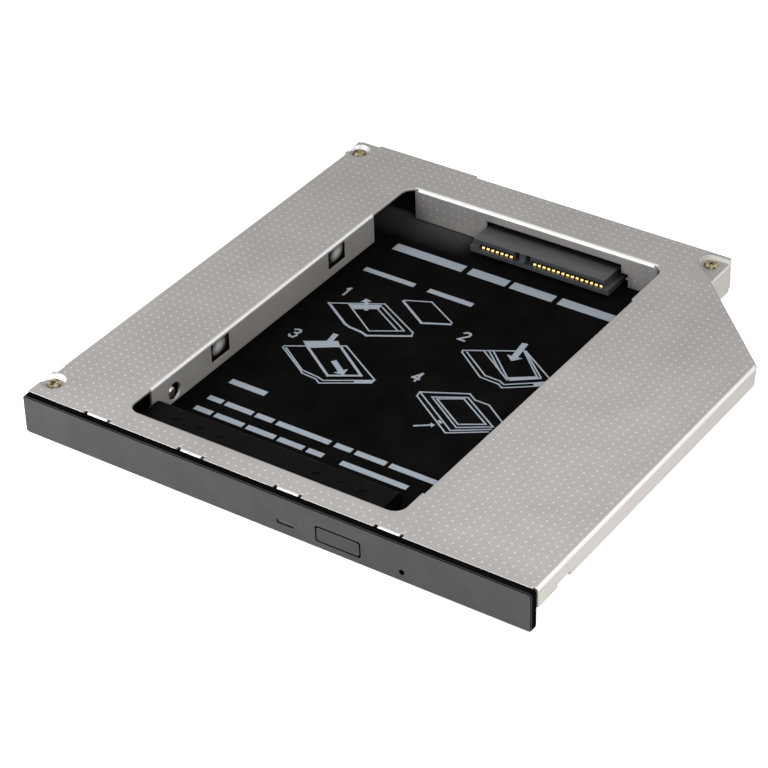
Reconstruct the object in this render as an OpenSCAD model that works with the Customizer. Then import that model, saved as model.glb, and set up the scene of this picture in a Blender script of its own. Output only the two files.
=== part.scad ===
// Laptop drive caddy: a folded cover over a folded tray, a moulded faceplate with a working
// button, a connector board at the rear and a loose spacer bar in front of the drive bay.
// X runs right seen from the front, Y runs to the rear, Z is up. The origin is the middle
// of the base.

/* [Case] */
// Width of the caddy
case_w = 128; // [124:0.5:132]
// Depth from the faceplate's face to the rear skirt
case_d = 129.6; // [128:0.1:134]
// Height of the caddy
case_h = 9.5; // [9.5:0.1:12.7]
// Width of the body behind the slanted corner
rear_w = 103; // [101:0.5:106]
// Length of the straight side behind the slanted corner
rear_side = 11.5; // [11:0.1:13]

/* [Sheet metal] */
// Thickness of the cover sheet
cover_t = 0.6; // [0.5:0.05:0.7]
// Thickness of the tray sheet
tray_t = 0.6; // [0.5:0.05:0.7]
// Inner radius of the folds
fold_r = 0.4; // [0.2:0.05:0.6]
// Gap between the cover's skirts and the tray's walls
skirt_gap = 0.1; // [0.05:0.05:0.3]
// Height of the long skirts' lower edge above the base
skirt_lift = 1.1; // [0.6:0.1:1.5]
// Depth of the skirt on the wing
wing_skirt = 4.7; // [3.5:0.1:6]
// Distance from the faceplate to the step in the wing's skirt
wing_step_y = 8; // [6:0.1:10]
// Length of the step in the wing's skirt
wing_step_l = 4.8; // [3:0.1:6]
// Height of the step in the wing's skirt
wing_step_h = 0.9; // [0.3:0.1:1.2]
// Slant of the rear end of the wing's skirt
wing_slant = 0.6; // [0:0.1:2]
// Length of the notch in the left edge behind the front screw
side_notch_l = 3.4; // [2:0.1:4]
// Depth of that notch
side_notch_d = 0.8; // [0.7:0.1:1.2]
// Width of the relief notches beside a folded tab
relief_w = 0.6; // [0.4:0.1:0.8]
// Depth of the relief notches
relief_d = 1.1; // [1.1:0.1:1.8]

/* [Drive window] */
// Distance from the left side to the window
window_x = 22.2; // [21:0.1:24]
// Distance from the window to the right side of the rear body
window_right = 11; // [10:0.1:12]
// Distance from the faceplate's face to the window
window_y = 8; // [7:0.1:10]
// Distance from the window to the rear skirt
window_rear = 12.6; // [12.4:0.1:14]
// Corner radius of the window
window_r = 3; // [1:0.1:4]
// Distance from the window's front edge to its side walls
wall_start = 8.5; // [8:0.5:10]
// Distance from the side walls to the window's rear edge
wall_end = 15; // [12:0.5:20]
// Height of the side walls' lower edge above the base
wall_lift = 1.8; // [1.2:0.1:2.5]
// Height of the rear wall's lower edge above the base
rear_wall_lift = 1.2; // [0.9:0.1:1.5]
// Distance from the window's corner to the end of the rear wall
rear_wall_inset = 1.8; // [1.2:0.1:3]

/* [Side springs] */
// Width of a spring tongue
spring_w = 5.3; // [4:0.1:6]
// Width of the slot around a tongue
spring_slot = 0.65; // [0.4:0.05:0.9]
// Height of a tongue
spring_h = 3.8; // [3:0.1:4.2]
// Distance from the cover's face down to the tongue's root
spring_root = 1.1; // [1.1:0.1:1.4]
// Distance from the front end of a side wall to the first tongue's middle
spring_front = 24.7; // [20:0.1:30]
// Distance from the rear end of a side wall to the second tongue's middle
spring_rear = 15.5; // [10:0.1:20]
// Distance a tongue's lower end stands back from the drive
spring_back = 0.45; // [0:0.05:0.8]
// Corner radius of a tongue
spring_r = 0.7; // [0.3:0.1:1.2]

/* [Corner screws] */
// Radius of a corner recess at the cover's face
dish_r = 2.9; // [2.7:0.1:3.1]
// Radius of the recess's floor
dish_floor_r = 2.2; // [2.1:0.1:2.4]
// Depth of the recess
dish_d = 0.9; // [0.8:0.05:1]
// Distance from the left side to the left screws
dish_left = 2.4; // [2.3:0.1:3]
// Distance from the right side of the rear body to the rear right screw
dish_right = 3.4; // [3:0.1:4]
// Distance from the faceplate's face to the front screw
dish_front = 7.8; // [7.4:0.1:8.2]
// Distance from the rear skirt to the rear screws
dish_rear = 4.7; // [4.4:0.1:5]
// Thread radius of the corner and board screws
screw_r = 1; // [0.9:0.05:1.1]
// Head radius of the corner and board screws
screw_head_r = 1.7; // [1.5:0.05:1.8]
// Head height of the corner and board screws
screw_head_h = 0.55; // [0.5:0.05:0.8]
// Length of the corner screws under the head
screw_l = 3; // [2.4:0.1:4]

/* [Drive lock screw] */
// Distance from the faceplate's face to the lock screw
lock_y = 24; // [21:0.1:25]
// Height of the lock screw's axis
lock_z = 4.1; // [3.9:0.1:4.4]
// Thread radius of the lock screw
lock_r = 1.3; // [1.2:0.05:1.6]
// Radius of the hole in the window's side wall
lock_hole_r = 2.1; // [1.8:0.05:2.2]
// Distance of that hole behind the screw
lock_hole_back = 0.3; // [0:0.05:0.4]
// Distance of that hole above the screw
lock_hole_up = 0.35; // [0:0.05:0.4]
// Distance the screw's tip stands back from the window
lock_tip = 0.3; // [0:0.1:1]
// Length of the chamfer at the screw's tip
lock_point = 0.4; // [0.2:0.1:0.6]
// Length of the lock screw under its head
lock_l = 7.5; // [6:0.5:10]
// Head radius of the lock screw
lock_head_r = 2.7; // [2.2:0.1:2.8]
// Head height of the lock screw
lock_head_h = 1.8; // [1.2:0.1:2]
// Radius of the screwdriver holes in the left side
driver_hole_r = 2.9; // [2.9:0.1:3]
// Width of the tab that carries the lock screw
lock_tab_w = 6.4; // [5:0.1:8]

/* [Tabs on the cover] */
// Width of the front tabs
front_tab_w = 5.3; // [4.6:0.1:6]
// Width of the notches beside a front tab
front_notch_w = 0.9; // [0.5:0.1:1.2]
// Number of front tabs
front_tabs = 4; // [3:1:4]
// Distance from the left side to the first front tab's middle
front_tab_x = 18.7; // [17:0.1:21]
// Distance from the last front tab's middle to the right side of the rear body
front_tab_right = 9.9; // [9.4:0.1:10.4]
// Distance between the two front tabs beside the button
front_tab_pitch = 24.8; // [24:0.1:25]
// Height of the front tabs' lower edge above the base
front_tab_lift = 5.1; // [5:0.1:5.3]
// Width of the side tabs that carry the mounting screws
side_tab_w = 6.3; // [5:0.1:7]
// Distance from the faceplate's face to the front side tab's middle
side_tab_y = 30.8; // [29:0.1:32]
// Distance from the rear skirt to the rear side tab's middle
side_tab_rear = 15.7; // [14:0.1:17]
// Radius of the tapped mounting holes
mount_hole_r = 0.8; // [0.75:0.05:1]
// Height of the mounting holes
mount_z = 4.75; // [4:0.05:5.5]
// Distance from the right side of the rear body to the last rear bracket hole
bracket_right = 19; // [16:0.5:22]
// Distance between the rear bracket holes
bracket_pitch = 24; // [20:0.5:28]

/* [Tray] */
// Height of the tray's front wall
front_wall_h = 3.6; // [3:0.1:3.8]
// Free length of the tray's front edge beside the lamp and the button
front_wall_room = 4; // [3:0.5:8]
// Length of a lug that carries a corner screw
lug_l = 5.4; // [5.2:0.1:6]
// Height of the threaded collar under a lug
collar_h = 1.2; // [0.8:0.1:1.6]
// Distance from the window to the tab that carries the lock screw
lock_tab_back = 3.6; // [3:0.1:4]
// Height of that tab above the lock screw's axis
lock_tab_over = 2.4; // [2:0.1:2.6]

/* [Faceplate] */
// Thickness of the faceplate
face_t = 1.9; // [1.8:0.1:2.4]
// Corner radius of the faceplate
face_r = 0.8; // [0.5:0.1:1.5]
// Chamfer around the faceplate's front
face_chamfer = 0.25; // [0.1:0.05:0.4]
// Width of the hooks that hold the faceplate
hook_w = 3; // [2:0.1:3.6]
// Height of a hook
hook_h = 1.2; // [0.8:0.1:1.3]
// Distance from the cover's face to a hook's underside
hook_drop = 3.6; // [3.4:0.1:3.8]
// Distance a hook stands behind the faceplate
hook_reach = 1.6; // [1.4:0.1:2]
// Distance from the button opening's left edge to the right side of the rear body
button_in = 26.4; // [24:0.1:28]
// Height of the button opening's lower edge
button_z = 1.7; // [1.5:0.1:2]
// Width of the button opening
button_w = 11.2; // [9:0.1:12]
// Height of the button opening
button_h = 4; // [3.5:0.1:4.5]
// Corner radius of the button opening
button_r = 0.6; // [0.3:0.1:1]
// Gap around the button
button_gap = 0.35; // [0.2:0.05:0.5]
// Thickness of the lip that holds the button behind the faceplate
button_lip = 0.8; // [0.6:0.1:1]
// Distance from the button opening to the guide pins
guide_out = 3; // [2.6:0.1:3.4]
// Radius of the eyes on the button's arms
guide_eye_r = 1.1; // [1:0.05:1.15]
// Thickness of the button's arms
button_arm_h = 1; // [0.8:0.1:1.4]
// Width of the lip around the button
button_flange = 0.6; // [0.4:0.1:0.7]
// Radius of the plunger on the button's back
plunger_r = 1; // [0.6:0.1:1.4]
// Length of the plunger
plunger_l = 1; // [0.5:0.1:1.4]
// Radius of the guide pins
guide_pin_r = 0.6; // [0.5:0.05:0.7]
// Length of the guide pins
guide_reach = 4; // [3.8:0.1:4.4]
// Distance from the lamp window's left edge to the button opening
led_in = 9.6; // [9:0.1:12]
// Height of the lamp window's lower edge
led_z = 2.5; // [2.2:0.1:3]
// Width of the lamp window
led_w = 4.2; // [3:0.1:4.6]
// Height of the lamp window
led_h = 1; // [0.8:0.1:1.4]
// Distance the lamp's lens stands back from the faceplate's face
led_back = 0.3; // [0:0.1:0.8]
// Rim and thickness of the lens behind the faceplate
led_rim = 0.6; // [0.4:0.1:0.8]
// Distance from the button opening's left edge to the release hole
release_in = 21.1; // [19:0.1:24]
// Height of the release hole
release_z = 2.4; // [2:0.1:3]
// Radius of the release hole
release_r = 0.65; // [0.4:0.05:0.9]

/* [Spacer bar] */
// Distance from the window's left edge to the spacer
spacer_x = 0.6; // [0.4:0.1:2]
// Distance from the spacer to the window's right edge
spacer_end = 6.6; // [3:0.1:14]
// Width of the spacer
spacer_w = 12.4; // [11:0.1:13]
// Height of the spacer's top above the base
spacer_top = 6; // [5.5:0.1:6.5]
// Distance from the window's front edge to the spacer's rear face
spacer_rear = 10.8; // [10:0.1:11]
// Chamfer along the spacer's rear edge
spacer_chamfer = 1; // [0.5:0.1:1.2]
// Wall of the spacer
spacer_wall = 1.2; // [0.8:0.1:1.6]
// Number of cells under the spacer
spacer_cells = 5; // [3:1:8]
// Number of chevrons on each half of the spacer
chevrons = 3; // [1:1:4]
// Length of a chevron's arm
chevron_l = 1.5; // [1:0.1:2.5]
// Width of a chevron's arm
chevron_w = 0.4; // [0.3:0.05:0.6]
// Height of a chevron above the spacer
chevron_h = 0.15; // [0.1:0.05:0.3]
// Distance from the spacer's end to the first chevron
chevron_in = 7; // [5:0.5:9]
// Distance between chevrons
chevron_pitch = 6; // [4:0.5:7]

/* [Connector board] */
// Thickness of the insulating film
film_t = 0.2; // [0.1:0.05:0.3]
// Height of the board's underside
board_z = 2.4; // [2.2:0.1:2.6]
// Thickness of the board
board_t = 1.2; // [1:0.1:1.3]
// Distance from the left side to the board
board_x = 6; // [5:0.1:7]
// Distance from the board to the right side of the rear body
board_right = 9; // [8:0.5:11]
// Distance from the board's right end, its rear edge and the plug to the board's screws
board_screw_in = 2.4; // [2.3:0.1:2.6]
// Gap between the board and the sheet metal around it
board_gap = 0.4; // [0.3:0.1:0.6]
// Pitch of the contacts
pitch = 1.27; // [1.2:0.01:1.3]
// Distance from the drive socket's last contact to the window's right edge
socket_in = 12.7; // [12:0.1:13.2]
// Distance between the socket's two rows of contacts
socket_break = 6.4; // [6.2:0.1:6.8]
// Height of the socket's underside
socket_z = 2.7; // [2.4:0.1:3]
// Height of the socket
socket_h = 3.3; // [3.2:0.1:3.6]
// Distance the socket stands in front of the window's rear wall
socket_reach = 6.9; // [6:0.1:7.5]
// Distance the socket's lower lip stands in front of its upper shell
socket_lip = 0.6; // [0.3:0.1:0.9]
// Distance from the first contact to the socket's left end
socket_left = 2.6; // [2.4:0.1:2.9]
// Distance from the last contact to the socket's right end
socket_right = 1; // [0.9:0.1:1.2]
// Width of the step at the socket's right end
socket_step = 1.4; // [1:0.1:1.6]
// Height of the socket's lower lip and of that step
socket_step_h = 1.5; // [1.4:0.05:1.7]
// Distance the lower lip stands out at the socket's left end
socket_ear = 0.6; // [0.2:0.1:0.7]
// Depth of the socket's mouths
mouth_d = 5.2; // [4.6:0.1:5.6]
// Height of the socket's mouths
mouth_h = 1.35; // [1.3:0.05:1.6]
// Width of a contact
contact_w = 0.7; // [0.5:0.05:0.8]
// Distance from the left side to the first contact of the host plug
plug_first = 9.7; // [9.7:0.1:12]
// Distance between the plug's two rows of contacts
plug_break = 6; // [5.6:0.1:6.4]
// Distance from the cover's underside to the host plug's top
plug_under = 1.6; // [1.6:0.1:2]
// Distance from the outer contacts to the ends of the host plug
plug_end = 3.6; // [3.4:0.1:4]
// Width of the cheeks at the host plug's ends
plug_cheek = 1.8; // [1.6:0.1:2]
// Depth of the host plug
plug_depth = 5.5; // [5:0.1:5.8]
// Thickness of the host plug's base
plug_base = 2.6; // [2.2:0.1:2.8]
// Thickness of the host plug's tongues
tongue_t = 1.2; // [1:0.05:1.3]

/* [Hidden] */
$fn = 48;
eps = 0.01;

// Places that several pieces share
turn = fold_r + cover_t;
tray_turn = fold_r + tray_t;
inset = cover_t + skirt_gap;
window_x1 = rear_w - window_right;
window_y1 = case_d - window_rear;
window_w = window_x1 - window_x;
window_l = window_y1 - window_y;
plate_z = case_h - cover_t;
dish_z = case_h - dish_d;
slant_y1 = case_d - rear_side;
slant_y0 = slant_y1 - (case_w - rear_w);
front_screw = [dish_left, dish_front];
rear_screw = [dish_left, case_d - dish_rear];
right_screw = [rear_w - dish_right, case_d - dish_rear];
tray_x1 = rear_w - inset;
tray_y1 = case_d - inset;
tray_top = dish_z - cover_t;
floor_z = tray_t + film_t;
board_y0 = window_y1 + cover_t + board_gap;
board_y1 = tray_y1 - tray_t - board_gap;
board_top = board_z + board_t;
last_tab = rear_w - front_tab_right;
tab_step = (last_tab - front_tab_pitch - front_tab_x) / (front_tabs - 2);
front_tab_at = concat([for (i = [0:front_tabs - 2]) front_tab_x + i * tab_step], [last_tab]);
side_tab_at = [side_tab_y, case_d - side_tab_rear];
bracket_at = [for (i = [1, 0]) rear_w - bracket_right - i * bracket_pitch];
wall_y = [window_y + wall_start, window_y1 - wall_end];
spring_at = [wall_y[0] + spring_front, wall_y[1] - spring_rear];
button_x = rear_w - button_in;
led_x = button_x - led_in;
release_x = button_x + release_in;
signal_count = 7;
power_count = 15;
plug_power_count = 6;
socket_power_first = window_x1 - socket_in - row_end(0, power_count);
socket_first = socket_power_first - socket_break - row_end(0, signal_count);
plug_power_first = row_end(plug_first, signal_count) + plug_break;

// Small clearances and walls that several pieces share
fit_gap = 0.06;
screw_play = 0.15;
thread_play = 0.05;
film_gap = 0.3;
socket_room = 0.8;
plug_room = 0.3;
mount_room = 0.5;
dish_wall = 0.4;
collar_wall = 0.7;
boss_wall = 1;
lock_post_r = 0.5;
recess_lead = 0.5;
side_gap = 0.1;
socket_seat = 2.4;
foot_l = 0.5;
foot_t = 0.2;
hook_play = 0.1;
hook_lip = 0.35;
pin_head = 0.4;
lock_tab_x = window_x - lock_tab_back;
lock_tab_h = lock_z + lock_tab_over;
hook_z = case_h - hook_drop;
guide_x = [button_x - guide_out, button_x + button_w + guide_out];
guide_z = button_z + button_h / 2;
spacer_x0 = window_x + spacer_x;
spacer_l = window_x1 - spacer_end - spacer_x0;
spacer_y1 = window_y + spacer_rear;
spacer_y0 = spacer_y1 - spacer_w;
board_l = rear_w - board_right - board_x;

socket_x0 = socket_first - socket_left;
socket_x1 = row_end(socket_power_first, power_count) + socket_right;
socket_step_x1 = socket_x1 + socket_step;
socket_y0 = window_y1 - socket_reach;
socket_y1 = board_y0 + socket_seat;
mouth_z = board_top;
plug_x0 = plug_first - plug_end;
plug_x1 = row_end(plug_power_first, plug_power_count) + plug_end;
plug_y1 = case_d - 0.1;
plug_y0 = plug_y1 - 0.2 - inset - tray_t - plug_depth;
plug_h = plate_z - plug_under - board_top;
tongue_z = board_top + (plug_h - tongue_t) / 2;
plug_hole = [plug_x0 - plug_room, plug_x1 + plug_room];
socket_locks = [for (x = [socket_x0 + 2 * lock_post_r, socket_step_x1 - 1.6 * lock_post_r])
    [x, socket_y1 - 2 * lock_post_r]];
plug_locks = [for (x = [plug_x0 + plug_cheek - lock_post_r, plug_x1 - plug_cheek + lock_post_r])
    [x, plug_y0 + plug_base / 2]];
board_screw_at = [for (x = [plug_x1 + board_screw_in, rear_w - board_right - board_screw_in])
    [x, board_y1 - board_screw_in]];
contact_slot = contact_w + 0.08;
lock_post_l = board_t + 1.8;
key_in = 1.1;
key_w = 1.3;
key_d = 3;
mouth_side = 0.9;
capacitor = [1.6, 0.8, 0.8];
capacitors = 4;
capacitor_pitch = 8.5;
capacitor_in = 1.4;
recess_d = 0.35;
tongue_side = 0.9;
key_rib = 1;

// Middle of the last contact in a row
function row_end(first, count) = first + (count - 1) * pitch;

// Shifts what is drawn from the front left corner so that the origin is the base's middle
module stand() {
    translate([-case_w / 2, -case_d / 2, 0]) children();
}

// Sheet folded down along +X, with its outer face on y = 0 and its flat side towards +Y
module fold(len, drop, t) {
    r = fold_r + t;
    rotate([90, 0, 90]) linear_extrude(len) {
        intersection() {
            translate([r, -r]) difference() {
                circle(r);
                circle(fold_r);
            }
            translate([0, -r]) square(r);
        }
        translate([0, -drop]) square([t, drop - r]);
    }
}

// Puts what lies along +X on the edge from p to q, with the sheet to the left of the way
module along(p, q) {
    translate(p) rotate(atan2(q.y - p.y, q.x - p.x)) children();
}

// Room that a fold takes from the flat sheet. f holds where it starts and ends, its depth,
// and the width of the relief notch at its start and at its end
module fold_room(f, r) {
    len = norm(f[1] - f[0]);
    along(f[0], f[1]) {
        translate([0, -eps]) square([len, r + eps]);
        if (f[3] > 0) translate([-f[3], -eps]) square([f[3], relief_d + eps]);
        if (f[4] > 0) translate([len, -eps]) square([f[4], relief_d + eps]);
    }
}

// Cover

// The folds on the cover's outer edges; the rear skirt is left out at the host plug
skirt = case_h - skirt_lift;
side_breaks = [dish_front + dish_r + side_notch_l, side_tab_at[0] - side_tab_w / 2,
    side_tab_at[0] + side_tab_w / 2, side_tab_at[1] - side_tab_w / 2,
    side_tab_at[1] + side_tab_w / 2, case_d - dish_rear - dish_r];
COVER_FOLDS = concat(
    [for (x = front_tab_at) [[x - front_tab_w / 2, face_t], [x + front_tab_w / 2, face_t],
        case_h - front_tab_lift, front_notch_w, front_notch_w]],
    [for (i = [0:len(side_breaks) - 2])
        [[0, side_breaks[i + 1] - relief_w / 2], [0, side_breaks[i] + relief_w / 2], skirt,
            relief_w, relief_w]],
    [[[rear_w - relief_w, case_d], [plug_hole[1], case_d], skirt, relief_w, 0],
     [[plug_hole[0], case_d], [relief_w, case_d], skirt, 0, relief_w],
     [[case_w, face_t + relief_w], [case_w, slant_y0], wing_skirt, relief_w, 0]]);

module cover_outline() {
    polygon([[0, face_t], [case_w, face_t], [case_w, slant_y0], [rear_w, slant_y1],
        [rear_w, case_d], [0, case_d]]);
}

module window_outline() {
    translate([window_x + window_r, window_y + window_r])
        for (x = [0, window_w - 2 * window_r]) for (y = [0, window_l - 2 * window_r])
            translate([x, y]) circle(window_r);
    translate([window_x + window_r, window_y]) square([window_w - 2 * window_r, window_l]);
    translate([window_x, window_y + window_r]) square([window_w, window_l - 2 * window_r]);
}

// The folds around the window: left wall, right wall and rear wall
WINDOW_FOLDS = [
    [[window_x, wall_y[0]], [window_x, wall_y[1]], case_h - wall_lift, 0, 0],
    [[window_x1, wall_y[1]], [window_x1, wall_y[0]], case_h - wall_lift, 0, 0],
    [[window_x + rear_wall_inset, window_y1], [window_x1 - rear_wall_inset, window_y1],
        case_h - rear_wall_lift, 0, 0]];

// Outline of the recess at the rear right corner, open to the side
module corner_recess(grow) {
    r = dish_r + grow;
    translate(right_screw) circle(r);
    polygon([right_screw + r * [cos(235), sin(235)], [rear_w, slant_y1 + recess_lead - grow],
        [rear_w, right_screw.y + r], [right_screw.x, right_screw.y + r]]);
}

module dish_cups() {
    for (c = [front_screw, rear_screw, right_screw])
        translate([c.x, c.y, tray_top])
            cylinder(h = dish_d + cover_t / 2, r1 = dish_floor_r + dish_wall,
                r2 = dish_r + dish_wall);
}

module dish_hollows() {
    for (c = [front_screw, rear_screw, right_screw]) {
        translate([c.x, c.y, dish_z]) cylinder(h = dish_d, r1 = dish_floor_r, r2 = dish_r);
        translate([c.x, c.y, 0]) cylinder(h = case_h, r = screw_r + screw_play);
    }
}

// Openings in the window walls round the spring tongues
module spring_openings(x) {
    w = spring_w + 2 * spring_slot;
    h = spring_h + spring_slot;
    for (y = spring_at) translate([x - cover_t, y - w / 2, case_h - spring_root - h])
        cube([2 * cover_t, w, h]);
}

// A tongue hangs from the top of its opening and leans away from the drive; out is -1 or 1
module spring_tongues(x, out) {
    for (y = spring_at) translate([x, y - spring_w / 2, case_h - spring_root])
        intersection() {
            translate([0, spring_w, 0]) rotate([90, 0, 0]) linear_extrude(spring_w)
                polygon([[0, eps], [out * cover_t, eps], [out * cover_t, 0],
                    [out * (cover_t + spring_back), -spring_h],
                    [out * spring_back, -spring_h], [0, 0]]);
            translate([-2, 0, -spring_h]) rotate([90, 0, 90]) linear_extrude(4)
                rounded(spring_w, spring_h + 2 * spring_r, spring_r);
        }
}

// Opening in the rear wall that the drive socket stands through, lower over the socket's step
module socket_opening() {
    low = socket_z + socket_step_h + socket_room / 2;
    translate([socket_x0 - socket_room, window_y1 - eps, 0])
        cube([socket_x1 - socket_x0 + 1.5 * socket_room, cover_t + 2 * eps,
            socket_z + socket_h + socket_room]);
    translate([socket_x1, window_y1 - eps, 0])
        cube([socket_step + socket_room, cover_t + 2 * eps, low]);
}

module top_cover() {
    color("silver") stand() {
        folded_cover();
        spring_tongues(window_x, -1);
        spring_tongues(window_x1, 1);
    }
}

module folded_cover() {
    difference() {
        union() {
            translate([0, 0, plate_z]) linear_extrude(cover_t) difference() {
                cover_outline();
                window_outline();
                for (f = concat(COVER_FOLDS, WINDOW_FOLDS)) fold_room(f, turn);
                translate([-eps, dish_front + dish_r]) square([side_notch_d, side_notch_l]);
            }
            for (f = concat(COVER_FOLDS, WINDOW_FOLDS))
                translate([0, 0, case_h]) along(f[0], f[1]) fold(norm(f[1] - f[0]), f[2], cover_t);
            intersection() {
                union() {
                    dish_cups();
                    translate([0, 0, tray_top]) linear_extrude(dish_d + cover_t / 2)
                        corner_recess(dish_wall);
                }
                translate([0, 0, tray_top - 1]) linear_extrude(case_h) cover_outline();
            }
            // Side wall below the recess at the rear right corner
            side = [[rear_w, slant_y1 + recess_lead], [rear_w, right_screw.y + dish_r]];
            translate([0, 0, dish_z]) along(side[0], side[1])
                fold(norm(side[1] - side[0]), dish_z - skirt_lift, cover_t);
        }
        dish_hollows();
        translate([0, 0, dish_z]) linear_extrude(dish_d + eps) corner_recess(0);
        spring_openings(window_x);
        spring_openings(window_x1);
        translate([window_x - 2 * cover_t, lock_y + lock_hole_back, lock_z + lock_hole_up])
            rotate([0, 90, 0]) cylinder(h = 3 * cover_t, r = lock_hole_r);
        translate([-eps, lock_y, lock_z]) rotate([0, 90, 0])
            cylinder(h = 2 * cover_t, r = driver_hole_r);
        socket_opening();
        mounting_holes(mount_hole_r);
        hook_slots();
        wing_skirt_trim();
    }
}

module mounting_holes(r) {
    for (y = side_tab_at) translate([-eps, y, mount_z]) rotate([0, 90, 0])
        cylinder(h = inset + tray_t + 2 * eps, r = r);
    for (x = bracket_at) translate([x, case_d + eps, mount_z]) rotate([90, 0, 0])
        cylinder(h = inset + tray_t + 2 * eps, r = r);
}

// Opening in the tray's rear wall that the host plug stands in
module plug_opening() {
    translate([plug_hole[0], tray_y1 - 2 * tray_t, board_top - plug_room])
        cube([plug_hole[1] - plug_hole[0], 3 * tray_t, case_h]);
}

// The wing's skirt has a shallow step near the front and a slanted rear end
module wing_skirt_trim() {
    low = case_h - wing_skirt;
    below = low - 1;
    translate([case_w - 2 * cover_t, face_t + wing_step_y, below])
        cube([3 * cover_t, wing_step_l, low - below + wing_step_h]);
    translate([case_w - 2 * cover_t, 0, 0]) rotate([90, 0, 90]) linear_extrude(3 * cover_t)
        polygon([[slant_y0 + 1, below], [slant_y0 - wing_slant, below],
            [slant_y0 - wing_slant, low], [slant_y0, case_h - turn],
            [slant_y0 + 1, case_h - turn]]);
}

// Slots in the front tabs for the faceplate's hooks
module hook_slots() {
    for (x = front_tab_at)
        translate([x - hook_w / 2 - hook_play, face_t - eps, hook_z - hook_play])
            cube([hook_w + 2 * hook_play, cover_t + 2 * eps,
                hook_h + hook_lip + 2 * hook_play]);
}

// Tray

// Gap over the tray's rear wall, half length of a lug, and the rear lugs' length behind a screw
tray_play = 0.2;
lug_half = 3;
lug_rear = 2.4;

TRAY_FOLDS = [for (f = [
    [[inset, tray_y1 - tray_turn - relief_w], [inset, face_t + tray_turn], tray_top - tray_turn],
    [[tray_x1 - tray_turn - relief_w, tray_y1], [inset + tray_turn + relief_w, tray_y1],
        tray_top - tray_play],
    [[tray_x1, face_t + tray_turn], [tray_x1, slant_y1], plate_z],
    [[tray_x1, slant_y1 + relief_w], [tray_x1, tray_y1 - tray_turn - relief_w],
        tray_top - tray_turn],
    [[inset + tray_turn + relief_w, face_t], [led_x - front_wall_room, face_t], front_wall_h],
    [[guide_x[1] + front_wall_room, face_t], [tray_x1 - tray_turn - relief_w, face_t],
        front_wall_h]]) concat(f, [relief_w, relief_w])];

// The lugs that carry the corner screws: edge from, edge to, screw
LUGS = [
    [[inset, front_screw.y + lug_half], [inset, front_screw.y - lug_half], front_screw],
    [[inset, rear_screw.y + lug_rear], [inset, rear_screw.y - lug_half], rear_screw],
    [[tray_x1, right_screw.y - lug_half], [tray_x1, right_screw.y + lug_rear], right_screw]];
corner = tray_turn + relief_w / 2;

module tray_floor() {
    translate([inset, face_t]) square([tray_x1 - inset, tray_y1 - face_t]);
}

module bottom_tray() {
    color("lightgray") stand() difference() {
        union() {
            linear_extrude(tray_t) difference() {
                tray_floor();
                for (f = TRAY_FOLDS) fold_room(f, tray_turn);
                // Open corners between two walls
                for (x = [inset, tray_x1 - corner]) for (y = [face_t, tray_y1 - corner])
                    translate([x, y]) square(corner);
                translate([lock_tab_x - lock_tab_h, lock_y - lock_tab_w / 2])
                    square([lock_tab_h, lock_tab_w]);
            }
            for (f = TRAY_FOLDS)
                mirror([0, 0, 1]) along(f[0], f[1]) fold(norm(f[1] - f[0]), f[2], tray_t);
            for (g = LUGS) translate([0, 0, tray_top]) along(g[0], g[1]) {
                fold(norm(g[1] - g[0]), 2 * tray_turn, tray_t);
                translate([0, tray_turn, -tray_t]) cube([norm(g[1] - g[0]), lug_l, tray_t]);
            }
            for (g = LUGS) translate([g[2].x, g[2].y, tray_top - tray_t - collar_h])
                cylinder(h = collar_h + eps, r = screw_r + collar_wall);
            mirror([0, 0, 1])
                along([lock_tab_x - tray_t, lock_y + lock_tab_w / 2],
                    [lock_tab_x - tray_t, lock_y - lock_tab_w / 2])
                    fold(lock_tab_w, lock_tab_h, tray_t);
            translate([lock_tab_x - tray_t, lock_y, lock_z]) rotate([0, 90, 0])
                cylinder(h = tray_t + collar_h, r = lock_r + collar_wall);
            for (c = board_screw_at) translate([c.x, c.y, tray_t / 2])
                cylinder(h = board_z - tray_t / 2, r = screw_r + boss_wall);
        }
        for (g = LUGS) translate([g[2].x, g[2].y, tray_top - tray_t - collar_h - eps])
            cylinder(h = 2 * collar_h, r = screw_r + thread_play);
        for (c = board_screw_at) translate([c.x, c.y, -eps])
            cylinder(h = board_z + 1, r = screw_r + thread_play);
        translate([lock_tab_x - 2 * tray_t, lock_y, lock_z]) rotate([0, 90, 0])
            cylinder(h = 3 * tray_t + collar_h, r = lock_r + thread_play);
        // Notch in the left wall for the lock screw and its screwdriver
        translate([inset - eps, lock_y, lock_z]) rotate([0, 90, 0])
            cylinder(h = 2 * tray_t, r = driver_hole_r);
        translate([inset - eps, lock_y - driver_hole_r, lock_z])
            cube([2 * tray_t, 2 * driver_hole_r, case_h]);
        mounting_holes(mount_hole_r + mount_room);
        plug_opening();
    }
}

// Film that insulates the tray from the drive and the board
module insulating_film() {
    edge = inset + tray_turn + film_gap;
    color("#141416") stand() translate([0, 0, tray_t]) linear_extrude(film_t) difference() {
        translate([edge, face_t + tray_turn + film_gap])
            square([rear_w - 2 * edge, tray_y1 - face_t - 2 * (tray_turn + film_gap)]);
        translate([lock_tab_x - lock_tab_h, lock_y - lock_tab_w / 2 - film_gap])
            square([lock_tab_h + tray_turn + film_gap, lock_tab_w + 2 * film_gap]);
        for (c = board_screw_at) translate(c) circle(screw_r + boss_wall + film_gap);
    }
}

// Faceplate

// Rectangle with rounded corners
module rounded(w, h, r) {
    translate([r, 0]) square([w - 2 * r, h]);
    translate([0, r]) square([w, h - 2 * r]);
    for (x = [r, w - r]) for (y = [r, h - r]) translate([x, y]) circle(r);
}

// Turns a flat outline in XZ into a slab that runs from y0 to y1
module slab(y0, y1) {
    translate([0, y1, 0]) rotate([90, 0, 0]) linear_extrude(y1 - y0) children();
}

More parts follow.
